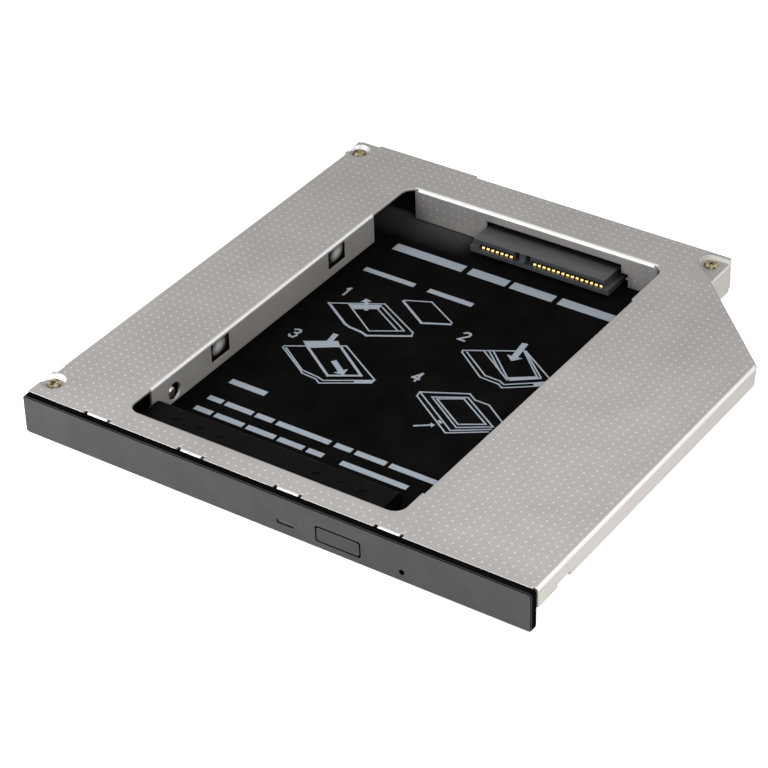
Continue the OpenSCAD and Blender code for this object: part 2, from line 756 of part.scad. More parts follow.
module faceplate() {
    c = face_chamfer;
    color("#3a3a3c") stand() difference() {
        union() {
            slab(c, face_t) rounded(case_w, case_h, face_r);
            slab(0, c) translate([c, c]) rounded(case_w - 2 * c, case_h - 2 * c, face_r - c / 2);
            for (x = guide_x) translate([x, face_t - eps, guide_z]) rotate([-90, 0, 0]) {
                cylinder(h = guide_reach, r = guide_pin_r);
                translate([0, 0, guide_reach - pin_head])
                    cylinder(h = pin_head, r = guide_pin_r + pin_head);
            }
            for (x = front_tab_at) translate([x - hook_w / 2, face_t - eps, hook_z]) {
                cube([hook_w, hook_reach, hook_h]);
                translate([0, cover_t + hook_play, 0])
                    cube([hook_w, hook_reach - cover_t - hook_play, hook_h + hook_lip]);
            }
        }
        slab(-1, face_t + 1) translate([button_x, button_z]) rounded(button_w, button_h, button_r);
        slab(-1, face_t + 1) translate([led_x, led_z]) square([led_w, led_h]);
        slab(-1, face_t + 1) translate([release_x, release_z]) circle(release_r);
    }
}

// The cap, the lip that holds it behind the faceplate, and the two arms with their guide eyes
module eject_button() {
    w = button_w - 2 * button_gap;
    h = button_h - 2 * button_gap;
    y0 = face_t + fit_gap;
    color("#4c4c50") stand() difference() {
        union() {
            slab(0, y0 + button_lip) translate([button_x + button_gap, button_z + button_gap])
                rounded(w, h, button_r);
            slab(y0, y0 + button_lip)
                translate([button_x - button_flange, button_z - button_flange])
                    square([button_w + 2 * button_flange, button_h + 2 * button_flange]);
            for (x = guide_x) slab(y0, y0 + button_lip) translate([x, guide_z]) circle(guide_eye_r);
            slab(y0, y0 + button_lip) translate([guide_x[0], guide_z - button_arm_h / 2])
                square([guide_x[1] - guide_x[0], button_arm_h]);
            slab(y0 + button_lip - eps, y0 + button_lip + plunger_l)
                translate([button_x + button_w / 2, guide_z]) circle(plunger_r);
        }
        for (x = guide_x) slab(0, 2 * face_t + 2) translate([x, guide_z])
            circle(guide_pin_r + fit_gap);
    }
}

// Light guide behind the lamp window
module led_lens() {
    color("#5a5c60") stand() {
        slab(led_back, face_t) translate([led_x + fit_gap, led_z + fit_gap])
            square([led_w - 2 * fit_gap, led_h - 2 * fit_gap]);
        slab(face_t, face_t + led_rim) translate([led_x - led_rim, led_z - led_rim])
            square([led_w + 2 * led_rim, led_h + 2 * led_rim]);
    }
}

// Spacer bar, hollow underneath, with chevrons that point to the front

module chevron(x, y) {
    for (side = [-1, 1])
        translate([x, y, spacer_top - eps]) rotate(90 + side * 45)
            translate([0, -chevron_w / 2, 0]) cube([chevron_l, chevron_w, chevron_h]);
}

module spacer_bar() {
    h = spacer_top - floor_z;
    c = spacer_chamfer;
    w = spacer_wall;
    color("#1c1c1e") stand() {
        translate([0, 0, floor_z]) difference() {
            translate([spacer_x0, 0, 0]) rotate([90, 0, 90]) linear_extrude(spacer_l)
                polygon([[spacer_y0, 0], [spacer_y1, 0], [spacer_y1, h - 0.7 * c],
                    [spacer_y1 - c, h], [spacer_y0, h]]);
            for (i = [0:spacer_cells - 1]) {
                cell = (spacer_l - (spacer_cells + 1) * w) / spacer_cells;
                translate([spacer_x0 + w + i * (cell + w), spacer_y0 + w, -eps])
                    cube([cell, spacer_w - 2 * w, h - w]);
            }
        }
        for (i = [0:chevrons - 1]) {
            x = chevron_in + chevron_pitch * i;
            for (at = [x, spacer_l - x])
                chevron(spacer_x0 + at, (spacer_y0 + spacer_y1 + 2 * chevron_l) / 2);
        }
    }
}

// Connector board and what stands on it

module circuit_board() {
    color("#1e5a34") stand() translate([0, 0, board_z]) difference() {
        translate([board_x, board_y0, 0]) cube([board_l, board_y1 - board_y0, board_t]);
        for (c = board_screw_at) translate([c.x, c.y, -eps])
            cylinder(h = board_t + 2 * eps, r = screw_r + screw_play);
        for (c = concat(socket_locks, plug_locks)) translate([c.x, c.y, -eps])
            cylinder(h = board_t + 2 * eps, r = lock_post_r + screw_play);
    }
}

// Mouth for one row of contacts, open to the front
module socket_mouth(first, count) {
    translate([first - mouth_side, socket_y0 - socket_lip - eps, mouth_z])
        cube([row_end(first, count) - first + 2 * mouth_side, socket_lip + mouth_d, mouth_h]);
}

module contact_slots(first, count, y0, y1, z, h) {
    for (i = [0:count - 1]) translate([first + i * pitch - contact_slot / 2, y0, z])
        cube([contact_slot, y1 - y0, h]);
}

module drive_socket() {
    front = socket_y0 - socket_lip;
    color("#46464a") stand() difference() {
        union() {
            translate([socket_x0, socket_y0, socket_z])
                cube([socket_x1 - socket_x0, board_y0 - side_gap - socket_y0, socket_h]);
            translate([socket_x0 - socket_ear, front, socket_z])
                cube([socket_step_x1 - socket_x0 + socket_ear, board_y0 - side_gap - front,
                    socket_step_h]);
            // Rear block that stands on the board
            for (part = [[socket_x1, socket_h], [socket_step_x1, socket_step_h]])
                translate([socket_x0, board_y0 - 2 * side_gap, board_top])
                    cube([part[0] - socket_x0, socket_y1 - board_y0 + 2 * side_gap,
                        socket_z + part[1] - board_top]);
        }
        for (row = [[socket_first, signal_count], [socket_power_first, power_count]]) {
            socket_mouth(row[0], row[1]);
            contact_slots(row[0], row[1], front - eps, socket_y1 + 1, mouth_z, 0.4);
        }
        // The key notches between and beside the rows
        for (x = [row_end(socket_first, signal_count) + key_in, socket_power_first - key_in - key_w])
            translate([x, front - eps, mouth_z]) cube([key_w, key_d, mouth_h + 1]);
        for (c = socket_locks) translate([c.x, c.y, board_z])
            cylinder(h = lock_post_l, r = lock_post_r + thread_play);
    }
}

// A contact spring: flat strip, raised nose at the mouth, foot on the board
module socket_contact(x) {
    t = 0.3;
    nose = 0.8;
    y0 = socket_y0 + side_gap;
    leg_y = socket_y1 + t;
    translate([x - contact_w / 2, 0, 0]) {
        translate([0, y0, mouth_z]) cube([contact_w, leg_y + t - y0, t]);
        translate([0, y0 + nose, mouth_z]) rotate([0, 90, 0]) difference() {
            cylinder(h = contact_w, r = nose);
            translate([-t / 2, -2 * nose, -eps]) cube(4 * nose);
        }
        translate([0, leg_y, mouth_z]) cube([contact_w, t + foot_l, foot_t]);
    }
}

module socket_signal_contacts() {
    color("gold") stand() for (i = [0:signal_count - 1]) socket_contact(socket_first + i * pitch);
}

module socket_power_contacts() {
    color("gold") stand()
        for (i = [0:power_count - 1]) socket_contact(socket_power_first + i * pitch);
}

module lock_posts(places) {
    for (c = places) translate([c.x, c.y, board_z - 0.6])
        cylinder(h = lock_post_l, r = lock_post_r);
}

module socket_board_locks() {
    color("silver") stand() lock_posts(socket_locks);
}

module plug_board_locks() {
    color("silver") stand() lock_posts(plug_locks);
}

// Tongue under one row of blades, with a key rib at its right end
module plug_tongue(first, count) {
    x0 = first - tongue_side;
    w = row_end(first, count) - first + 2 * tongue_side;
    y0 = plug_y0 + plug_base - eps;
    l = plug_y1 - 0.4 - y0;
    translate([x0, y0, tongue_z]) cube([w, l, tongue_t]);
    translate([x0 + w - eps, y0, tongue_z]) cube([key_rib + eps, l, tongue_t + 0.9 * key_rib]);
}

module host_plug() {
    rows = [[plug_first, signal_count], [plug_power_first, plug_power_count]];
    color("#202024") stand() difference() {
        union() {
            translate([plug_x0, plug_y0, board_top])
                cube([plug_x1 - plug_x0, plug_base, plug_h]);
            for (x = [plug_x0, plug_x1 - plug_cheek])
                translate([x, plug_y0, board_top]) cube([plug_cheek, plug_y1 - plug_y0, plug_h]);
            for (row = rows) plug_tongue(row[0], row[1]);
        }
        for (row = rows) contact_slots(row[0], row[1], plug_y0 - 1, plug_y0 + plug_base,
            tongue_z + tongue_t, 0.35);
        for (c = plug_locks) translate([c.x, c.y, board_z])
            cylinder(h = lock_post_l, r = lock_post_r + thread_play);
    }
}

// A plug blade: strip on the tongue, leg and foot behind the base
module plug_blade(x) {
    z = tongue_z + tongue_t;
    t = 0.25;
    leg_y = plug_y0 - 2 * t;
    translate([x - contact_w / 2, 0, 0]) {
        translate([0, leg_y, z]) cube([contact_w, plug_y1 - 0.8 - leg_y, t]);
        translate([0, leg_y, board_top]) cube([contact_w, t, z - board_top + t]);
        translate([0, leg_y - foot_l, board_top]) cube([contact_w, foot_l + t, foot_t]);
    }
}

module plug_signal_contacts() {
    color("gold") stand() for (i = [0:signal_count - 1]) plug_blade(plug_first + i * pitch);
}

module plug_power_contacts() {
    color("gold") stand()
        for (i = [0:plug_power_count - 1]) plug_blade(plug_power_first + i * pitch);
}

module board_capacitors() {
    color("#b08a5a") stand() for (i = [0:capacitors - 1])
        translate([socket_x0 + capacitor_pitch * (i + 0.5), board_y1 - capacitor_in - capacitor.y,
            board_top]) cube(capacitor);
}

// Fasteners

// Cross recess of a screw whose head's top is at z = 0
module cross_recess(r) {
    for (a = [0, 90]) rotate(a) translate([-r, -r / 5, -recess_d])
        cube([2 * r, r / 2.5, 2 * recess_d]);
}

module pan_screw(len) {
    difference() {
        union() {
            cylinder(h = screw_head_h, r1 = screw_head_r, r2 = screw_head_r - 0.25);
            translate([0, 0, -len]) cylinder(h = len + eps, r = screw_r);
        }
        translate([0, 0, screw_head_h]) cross_recess(screw_head_r * 0.55);
    }
}

module cover_screws() {
    color("#b9a77c") stand() for (c = [front_screw, rear_screw, right_screw])
        translate([c.x, c.y, dish_z]) pan_screw(screw_l);
}

module board_screws() {
    color("#b9a77c") stand() for (c = board_screw_at)
        translate([c.x, c.y, board_top]) pan_screw(board_top - tray_t / 2);
}

module drive_lock_screw() {
    color("#b9a77c") stand() translate([window_x - lock_tip, lock_y, lock_z])
        rotate([0, -90, 0]) difference() {
            union() {
                cylinder(h = lock_point + eps, r1 = lock_r - lock_point, r2 = lock_r);
                translate([0, 0, lock_point])
                    cylinder(h = lock_l - lock_point + eps, r = lock_r);
                translate([0, 0, lock_l]) cylinder(h = lock_head_h, r = lock_head_r);
            }
            translate([0, 0, lock_l + lock_head_h]) cross_recess(screw_head_r * 0.9);
        }
}

top_cover();
bottom_tray();
insulating_film();
faceplate();
eject_button();
led_lens();
spacer_bar();
circuit_board();
drive_socket();
socket_signal_contacts();
socket_power_contacts();
socket_board_locks();
host_plug();
plug_signal_contacts();
plug_power_contacts();
plug_board_locks();
board_capacitors();
board_screws();
cover_screws();
drive_lock_screw();
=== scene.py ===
# Laptop drive caddy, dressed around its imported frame: the file follows the caddy as it is put
# together, from the tray with its film and board to the cover, the faceplate and the screws.
import math

import bmesh
import bpy
from mathutils import Matrix, Vector


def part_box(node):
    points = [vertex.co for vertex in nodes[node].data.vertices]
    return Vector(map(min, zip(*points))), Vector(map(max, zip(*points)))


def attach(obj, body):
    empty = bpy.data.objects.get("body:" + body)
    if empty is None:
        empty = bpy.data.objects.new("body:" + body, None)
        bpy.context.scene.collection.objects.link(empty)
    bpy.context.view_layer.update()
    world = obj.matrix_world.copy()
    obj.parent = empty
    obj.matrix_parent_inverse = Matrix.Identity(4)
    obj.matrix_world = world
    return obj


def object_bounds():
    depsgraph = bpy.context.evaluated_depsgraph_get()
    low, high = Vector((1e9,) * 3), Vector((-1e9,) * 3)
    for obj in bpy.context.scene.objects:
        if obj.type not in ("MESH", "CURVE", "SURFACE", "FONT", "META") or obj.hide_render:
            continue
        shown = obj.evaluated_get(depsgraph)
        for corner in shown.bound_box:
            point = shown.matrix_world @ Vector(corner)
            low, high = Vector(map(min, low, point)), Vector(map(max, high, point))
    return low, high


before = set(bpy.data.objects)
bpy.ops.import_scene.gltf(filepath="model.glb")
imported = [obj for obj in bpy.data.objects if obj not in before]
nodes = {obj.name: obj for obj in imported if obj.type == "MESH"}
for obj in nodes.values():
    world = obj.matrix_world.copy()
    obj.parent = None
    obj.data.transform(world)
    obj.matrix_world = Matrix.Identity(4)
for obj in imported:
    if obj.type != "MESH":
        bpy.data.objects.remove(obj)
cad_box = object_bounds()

# Camera: a long lens in front of the caddy, to its right and above it.
# Its place and angle come from a fit to the photograph's corners and edges.
camera_data = bpy.data.cameras.new("photo_camera")
camera_data.sensor_width = 36
camera_data.lens = 132.04
camera_data.clip_start = 0.01
camera_data.dof.use_dof = False
camera = bpy.data.objects.new("photo_camera", camera_data)
camera.matrix_world = Matrix((
    (0.82991628, -0.30086943, 0.46980480, 0.283904),
    (0.55742839, 0.48137946, -0.67642250, -0.429401),
    (-0.02263953, 0.82325658, 0.56721782, 0.352762),
    (0, 0, 0, 1)))
bpy.context.scene.collection.objects.link(camera)
bpy.context.scene.camera = camera
bpy.context.scene.view_settings.view_transform = "Standard"


# Studio: a white table and a white room, which the camera and the shiny parts see as white,
# with three soft boxes. The table keeps the caddy's shadow.
def srgb(code):
    """Linear colour of an sRGB hex code."""
    parts = [int(code[i:i + 2], 16) / 255 for i in (0, 2, 4)]
    return [*(p / 12.92 if p <= 0.04045 else ((p + 0.055) / 1.055) ** 2.4 for p in parts), 1]


def add(tree, kind, inputs=None, **settings):
    """Adds a shader node, sets it up and fills its sockets with values or links."""
    node = tree.nodes.new("ShaderNode" + kind)
    for name, value in settings.items():
        setattr(node, name, value)
    for socket, value in (inputs or {}).items():
        if isinstance(value, bpy.types.NodeSocket):
            tree.links.new(value, node.inputs[socket])
        else:
            node.inputs[socket].default_value = value
    return node


def seen_directly(tree):
    """1 for what the camera sees, straight on or in a shiny or clear part, else 0."""
    path = add(tree, "LightPath")
    first = add(tree, "Math", {0: path.outputs["Is Camera Ray"],
                               1: path.outputs["Is Glossy Ray"]}, operation="MAXIMUM")
    return add(tree, "Math", {0: first.outputs[0], 1: path.outputs["Is Transmission Ray"]},
               operation="MAXIMUM").outputs[0]


room = bpy.data.worlds.new("white_room")
room.use_nodes = True
room.node_tree.nodes.clear()
room_light = add(room.node_tree, "Background", {"Color": srgb("FFFFFF"), "Strength": 0.25})
room_seen = add(room.node_tree, "Background", {"Color": srgb("FFFFFF"), "Strength": 1.0})
room_mix = add(room.node_tree, "MixShader", {0: seen_directly(room.node_tree),
                                             1: room_light.outputs[0], 2: room_seen.outputs[0]})
add(room.node_tree, "OutputWorld", {"Surface": room_mix.outputs[0]})
bpy.context.scene.world = room

table_top = bpy.data.materials.new("white_laminate_table")
table_top.use_nodes = True
tree = table_top.node_tree
tree.nodes.clear()
grain = add(tree, "TexNoise", {"Scale": 60.0, "Detail": 4.0})
laminate = add(tree, "MixRGB", {0: grain.outputs[0], 1: srgb("F4F4F4"), 2: srgb("F8F8F8")})
lit = add(tree, "BsdfDiffuse", {"Color": laminate.outputs[0]})
glow = add(tree, "Emission", {"Color": srgb("FFFFFF"), "Strength": 0.78})
both = add(tree, "AddShader", {0: lit.outputs[0], 1: glow.outputs[0]})
mixed = add(tree, "MixShader", {0: seen_directly(tree), 1: lit.outputs[0], 2: both.outputs[0]})
add(tree, "OutputMaterial", {"Surface": mixed.outputs[0]})

table_mesh = bpy.data.meshes.new("table")
reach = 6.0
table_mesh.from_pydata([(-reach, -reach, 0), (reach, -reach, 0), (reach, reach, 0),
                        (-reach, reach, 0)], [], [(0, 1, 2, 3)])
table_mesh.materials.append(table_top)
table = bpy.data.objects.new("table", table_mesh)
table.location.z = cad_box[0][2] - 0.0001
bpy.context.scene.collection.objects.link(table)


def soft_box(name, place, size, watts):
    """Square lamp that faces the caddy."""
    data = bpy.data.lights.new(name, "AREA")
    data.size = size
    data.energy = watts
    lamp = bpy.data.objects.new(name, data)
    lamp.location = place
    lamp.rotation_euler = (-Vector(place)).to_track_quat("-Z", "Y").to_euler()
    bpy.context.scene.collection.objects.link(lamp)


# The key box stands where the folds that face the front mirror it to the camera, the side box
# where those that face right do. The low box near the front left corner makes the faceplate's
# light fall off to the right, and the top box lights the wing.
soft_box("key_box", (-0.376, -0.454, 0.541), 0.45, 1.7)
soft_box("front_box", (-0.11, -0.15, 0.09), 0.1, 0.13)
soft_box("top_box", (0.12, -0.068, 0.15), 0.1, 0.18)
soft_box("side_box", (0.454, 0.541, 0.376), 0.3, 0.5)


# Bottom tray: one folded sheet of zinc-plated steel. The rolling of the sheet leaves fine
# streaks along its length, and the plating gives a satin, faintly cloudy grey.
def begin(name):
    """An empty material, its node tree, and the places on the caddy in millimetres."""
    made = bpy.data.materials.new(name)
    made.use_nodes = True
    made.node_tree.nodes.clear()
    place = add(made.node_tree, "TexCoord").outputs["Object"]
    mm = add(made.node_tree, "Mapping", {0: place, "Scale": (1000, 1000, 1000)})
    return made, made.node_tree, mm.outputs[0]


def dress(material, *names):
    """Gives a material to nodes of the frame."""
    for name in names:
        piece = nodes[name]
        piece.data.materials.clear()
        piece.data.materials.append(material)


zinc, tree, mm = begin("zinc_plated_steel")
rolled = add(tree, "Mapping", {0: mm, "Scale": (6, 0.12, 6)})
streaks = add(tree, "TexNoise", {"Vector": rolled.outputs[0], "Scale": 1.0, "Detail": 3.0})
clouds = add(tree, "TexNoise", {"Vector": mm, "Scale": 0.11, "Detail": 2.0})
tone = add(tree, "Math", {0: streaks.outputs[0], 1: clouds.outputs[0]}, operation="ADD")
shade = add(tree, "MapRange", {0: tone.outputs[0], 1: 0.7, 2: 1.3})
colour = add(tree, "MixRGB", {0: shade.outputs[0], 1: srgb("A9A7A4"), 2: srgb("C9C6C2")})
satin = add(tree, "MapRange", {0: clouds.outputs[0], 1: 0.3, 2: 0.7, 3: 0.32, 4: 0.46})
bump = add(tree, "Bump", {"Height": streaks.outputs[0], "Distance": 0.000004})
steel = add(tree, "BsdfPrincipled", {"Base Color": colour.outputs[0], "Metallic": 1.0,
                                     "Roughness": satin.outputs[0], "Normal": bump.outputs[0]})
add(tree, "OutputMaterial", {"Surface": steel.outputs[0]})
dress(zinc, "bottom_tray")


# Insulating film: a black polyester sheet, matt on its upper side, that lies on the tray's
# floor. It has a pale print: a heading, four small drawings and some lines of small print,
# kept here to plain bars, outlines and the numbers of the steps.
film, tree, mm = begin("black_polyester_film")
fog = add(tree, "TexNoise", {"Vector": mm, "Scale": 0.09, "Detail": 3.0})
matt = add(tree, "TexNoise", {"Vector": mm, "Scale": 9.0, "Detail": 2.0})
shade = add(tree, "MapRange", {0: fog.outputs[0], 1: 0.35, 2: 0.65})
colour = add(tree, "MixRGB", {0: shade.outputs[0], 1: srgb("0E0D0D"), 2: srgb("141313")})
# Beside the socket the black lifts to grey towards the window's rear wall, as the photograph
# shows it; the grey is painted and stands for a soft reflection of the wall
place = add(tree, "SeparateXYZ", {0: mm})
near_wall = add(tree, "MapRange", {0: place.outputs[1], 1: 43, 2: 52})
left_of_socket = add(tree, "MapRange", {0: place.outputs[0], 1: -25, 2: -20, 3: 1, 4: 0})
lens_haze_and_painted_film_reflection = add(tree, "Math", {0: near_wall.outputs[0], 1: left_of_socket.outputs[0]},
           operation="MULTIPLY")
colour = add(tree, "MixRGB", {0: lens_haze_and_painted_film_reflection.outputs[0], 1: colour.outputs[0], 2: srgb("4A4848")})
satin = add(tree, "MapRange", {0: fog.outputs[0], 1: 0.3, 2: 0.7, 3: 0.42, 4: 0.55})
bump = add(tree, "Bump", {"Height": matt.outputs[0], "Distance": 0.000004})
sheet = add(tree, "BsdfPrincipled", {"Base Color": colour.outputs[0], "IOR": 1.6,
                                     "Specular IOR Level": 0.0,
                                     "Roughness": satin.outputs[0], "Normal": bump.outputs[0]})
add(tree, "OutputMaterial", {"Surface": sheet.outputs[0]})
dress(film, "insulating_film")

film_top = 1000 * (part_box("insulating_film")[1].z - cad_box[0][2])
ink_low, ink_high = film_top - 0.005, film_top + 0.015
drawing = bmesh.new()


def at(x, y, z=0.0):
    """A place given in millimetres from the caddy's front left corner on the table."""
    return Vector(cad_box[0]) + Vector((x, y, z)) / 1000


def put(shape, name, material, body="case", smooth=False):
    """Turns a bmesh into a piece that rides on a body."""
    bmesh.ops.recalc_face_normals(shape, faces=shape.faces)
    mesh = bpy.data.meshes.new(name)
    shape.to_mesh(mesh)
    shape.free()
    mesh.materials.append(material)
    for face in mesh.polygons:
        face.use_smooth = smooth
    piece = bpy.data.objects.new(name, mesh)
    bpy.context.scene.collection.objects.link(piece)
    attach(piece, body)


def patch(points):
    """Thin flat field of ink inside an outline in millimetres, a hair above the last one."""
    top = ink_high + 0.0001 * len(drawing.faces)
    rings = [[drawing.verts.new(at(x, y, z)) for x, y in points] for z in (ink_low, top)]
    drawing.faces.new(rings[0][::-1])
    drawing.faces.new(rings[1])
    for i in range(len(points)):
        j = (i + 1) % len(points)
        drawing.faces.new((rings[0][i], rings[0][j], rings[1][j], rings[1][i]))


def line(x0, y0, x1, y1, width):
    along = Vector((x1 - x0, y1 - y0))
    side = Vector((-along.y, along.x)).normalized() * width / 2
    end = along.normalized() * width / 2
    a, b = Vector((x0, y0)) - end, Vector((x1, y1)) + end
    patch([a - side, b - side, b + side, a + side])


def path(width, *points):
    """Strokes through the points."""
    for (x0, y0), (x1, y1) in zip(points, points[1:]):
        line(x0, y0, x1, y1, width)


def arrow(x0, y0, x1, y1, width, head):
    """Block arrow that ends at x1, y1."""
    along = Vector((x1 - x0, y1 - y0)).normalized()
    side = Vector((-along.y, along.x))
    tip, start = Vector((x1, y1)), Vector((x0, y0))
    neck = tip - along * head
    patch([tip, neck - side * head, neck - side * width / 2, start - side * width / 2,
           start + side * width / 2, neck + side * width / 2, neck + side * head])


# Heading, sub-heading and small print as bars as high as small letters: foot, height of the
# capitals, then first and last edge of each word
for foot, high, words in (
        (102.9, 3.6, ((26.5, 45.9), (47.5, 57.9), (59, 70.4), (71.9, 90))),
        (91.5, 2.0, ((26, 40), (43.8, 55.9))),
        (37.3, 2.2, ((26.9, 36.6),)),
        (29.8, 2.0, ((26.5, 30.4), (31.2, 38.5), (39.4, 44), (45, 59), (60.3, 64.6),
                     (65.6, 73.4), (74.4, 88))),
        (25.1, 2.0, ((26.3, 30.9), (31.8, 39.4), (40.3, 47.8), (48.7, 55.3), (56.3, 60.4),
                     (65, 81.9)))):
    for x0, x1 in words:
        tall = 0.8 * high
        line(x0 + tall / 2, foot + tall / 2, x1 - tall / 2, foot + tall / 2, tall)

# The four steps: a caddy with its drive beside it, tipped in, pushed home and pressed down
thin, bold = 0.36, 0.62
path(bold, (27.3, 75.7), (35.5, 70.4), (37.1, 69.9), (40.4, 69.6), (42.3, 69.0), (51, 74.2))
path(thin, (51, 74.2), (50.6, 75.5), (38.5, 82.1), (27.3, 75.7))
path(thin, (31.5, 77.7), (41.7, 70.9), (48.5, 75.1), (38.7, 80.7))
path(thin, (38.3, 79.5), (47.3, 74.3))
patch([(31.5, 77.7), (33.5, 76.5), (38.5, 79.6), (38.2, 81.4)])
arrow(36.4, 77.6, 33.6, 81.7, 0.9, 1.3)
path(bold, (55.9, 82.9), (50, 79.9), (41.5, 85.3))
path(thin, (41.5, 85.8), (47.2, 88.5), (55.9, 83.6))

path(thin, (77.9, 68.4), (72.9, 68.6), (64.2, 74.8), (64, 75.5), (76.1, 82.7), (86, 76.3))
path(thin, (77.7, 68.4), (79.2, 67.6), (86.3, 72.9))
path(thin, (65.1, 75.4), (73.5, 69.7), (77.4, 69.6), (78.9, 68.9), (86.1, 74.4))
patch([(84.1, 73.1), (84.6, 71.8), (86.5, 73), (86.1, 74.8)])
path(thin, (68.1, 77.8), (78.5, 70.8))
path(thin, (69.1, 78.4), (76, 72.4))
path(thin, (69.9, 78.9), (78.2, 71.5), (83.5, 75.3), (75.7, 82.5))
path(thin, (76.3, 82.4), (84.5, 75.4))
patch([(78.3, 71.5), (79.1, 70.7), (84.7, 75.1), (83.7, 75.4)])
arrow(74.4, 85.2, 75.4, 77.6, 1.5, 1.9)

path(thin, (28.9, 55.2), (37.5, 49.8), (38.6, 49), (42.6, 48.7), (44, 47.8), (53.8, 53.9),
     (53.8, 55.3), (40.8, 63.1), (28.9, 55.7))
path(thin, (29.8, 55.3), (37.9, 50), (42.5, 49.6), (44.2, 49.1), (53.8, 55.1))
patch([(50.1, 53), (50.5, 51.6), (54, 53.9), (53.7, 55.2)])
patch([(31.4, 59.6), (33.8, 57.8), (40, 62.1), (38.1, 63.8)])
path(bold, (33.2, 58.5), (44, 51.2), (50.3, 55.1), (40.2, 62))
arrow(36.1, 65.9, 36.8, 60.4, 1.3, 1.7)
arrow(41.8, 56.7, 46.8, 53.3, 1.3, 1.7)

path(thin, (77.9, 46.7), (65.1, 55.1), (64.8, 56.7), (74.5, 61.9), (76.7, 60.5), (80.3, 60.5),
     (86.4, 56.4))
path(thin, (77.9, 46.7), (85.5, 51.9))
path(thin, (65.2, 56.5), (78.3, 48), (85.5, 53))
path(thin, (68.1, 56.5), (74.9, 60.5), (85.4, 54), (78.8, 49.6), (68.1, 56.5))
path(thin, (69.4, 56.5), (78.5, 50.8), (83.6, 54), (74.4, 59.6), (69.4, 56.5))
path(bold, (74.4, 49.7), (75, 49.4))
arrow(70.6, 45.2, 74.4, 48, 0.45, 0.9)

# Step numbers 1 to 4, in plain strokes on a grid one unit wide and two units high
strokes = {
    1: [(0.2, 1.6, 0.55, 2), (0.55, 2, 0.55, 0)],
    2: [(0, 1.7, 0.25, 2), (0.25, 2, 0.8, 2), (0.8, 2, 1, 1.7), (1, 1.7, 1, 1.3),
        (1, 1.3, 0, 0), (0, 0, 1, 0)],
    3: [(0, 1.8, 0.3, 2), (0.3, 2, 0.8, 2), (0.8, 2, 1, 1.6), (1, 1.6, 0.75, 1.1),
        (0.75, 1.1, 0.4, 1.1), (0.75, 1.1, 1, 0.6), (1, 0.6, 0.8, 0), (0.8, 0, 0.2, 0),
        (0.2, 0, 0, 0.3)],
    4: [(0.75, 0, 0.75, 2), (0.75, 2, 0, 0.6), (0, 0.6, 1.05, 0.6)]}
for number, (x, y) in {1: (27.3, 80.3), 2: (60.6, 78.8), 3: (27.2, 59.7), 4: (60.3, 59.7)}.items():
    for x0, y0, x1, y1 in strokes[number]:
        line(x + 1.6 * x0, y + 1.6 * y0, x + 1.6 * x1, y + 1.6 * y1, 0.5)

# Screen-printed ink: a thin pale layer that lets a little of the black through
ink, tree, mm = begin("pale_screen_print_ink")
worn = add(tree, "TexNoise", {"Vector": mm, "Scale": 2.5, "Detail": 3.0})
shade = add(tree, "MapRange", {0: worn.outputs[0], 1: 0.3, 2: 0.7})
colour = add(tree, "MixRGB", {0: shade.outputs[0], 1: srgb("97A1AC"), 2: srgb("AAB4BE")})
bump = add(tree, "Bump", {"Height": worn.outputs[0], "Distance": 0.000004})
layer = add(tree, "BsdfPrincipled", {"Base Color": colour.outputs[0], "Roughness": 0.55,
                                     "Specular IOR Level": 0.2, "Normal": bump.outputs[0]})
add(tree, "OutputMaterial", {"Surface": layer.outputs[0]})
put(drawing, "film_print", ink)

# A strip of black tape closes the cut-out that the lock screw's tab leaves in the floor
tape = bmesh.new()
tape_low, tape_high = film_top, film_top + 0.06
x0, x1, y0, y1, cut = 10.6, 17.9, 19.9, 28.1, 0.5
rim = [(x0 + cut, y0), (x1 - cut, y0), (x1, y0 + cut), (x1, y1 - cut), (x1 - cut, y1),
       (x0 + cut, y1), (x0, y1 - cut), (x0, y0 + cut)]
rings = [[tape.verts.new(at(x, y, z)) for x, y in rim] for z in (tape_low, tape_high)]
tape.faces.new(rings[0][::-1])
tape.faces.new(rings[1])
for i in range(len(rim)):
    j = (i + 1) % len(rim)
    tape.faces.new((rings[0][i], rings[0][j], rings[1][j], rings[1][i]))
put(tape, "film_tape", film)


# Connector board: 1.2 mm glass-epoxy laminate under black solder mask, screwed to two bosses
# of the tray. Copper tracks show through the mask as slightly raised, lighter lines.
mask, tree, mm = begin("black_solder_mask")
weave = add(tree, "TexWave", {"Vector": mm, "Scale": 1.2, "Distortion": 0.4},
            wave_type="BANDS", bands_direction="Y")
tracks = add(tree, "TexBrick", {"Vector": mm, "Scale": 0.5, "Mortar Size": 0.03,
                                "Brick Width": 1.4, "Row Height": 0.5,
                                "Color1": srgb("0D0F0E"), "Color2": srgb("111312"),
                                "Mortar": srgb("242826")})
bump = add(tree, "Bump", {"Height": weave.outputs[1], "Distance": 0.000006})
board = add(tree, "BsdfPrincipled", {"Base Color": tracks.outputs[0], "Roughness": 0.34,
                                     "IOR": 1.52, "Specular IOR Level": 0.3,
                                     "Normal": bump.outputs[0]})
add(tree, "OutputMaterial", {"Surface": board.outputs[0]})
dress(mask, "circuit_board")


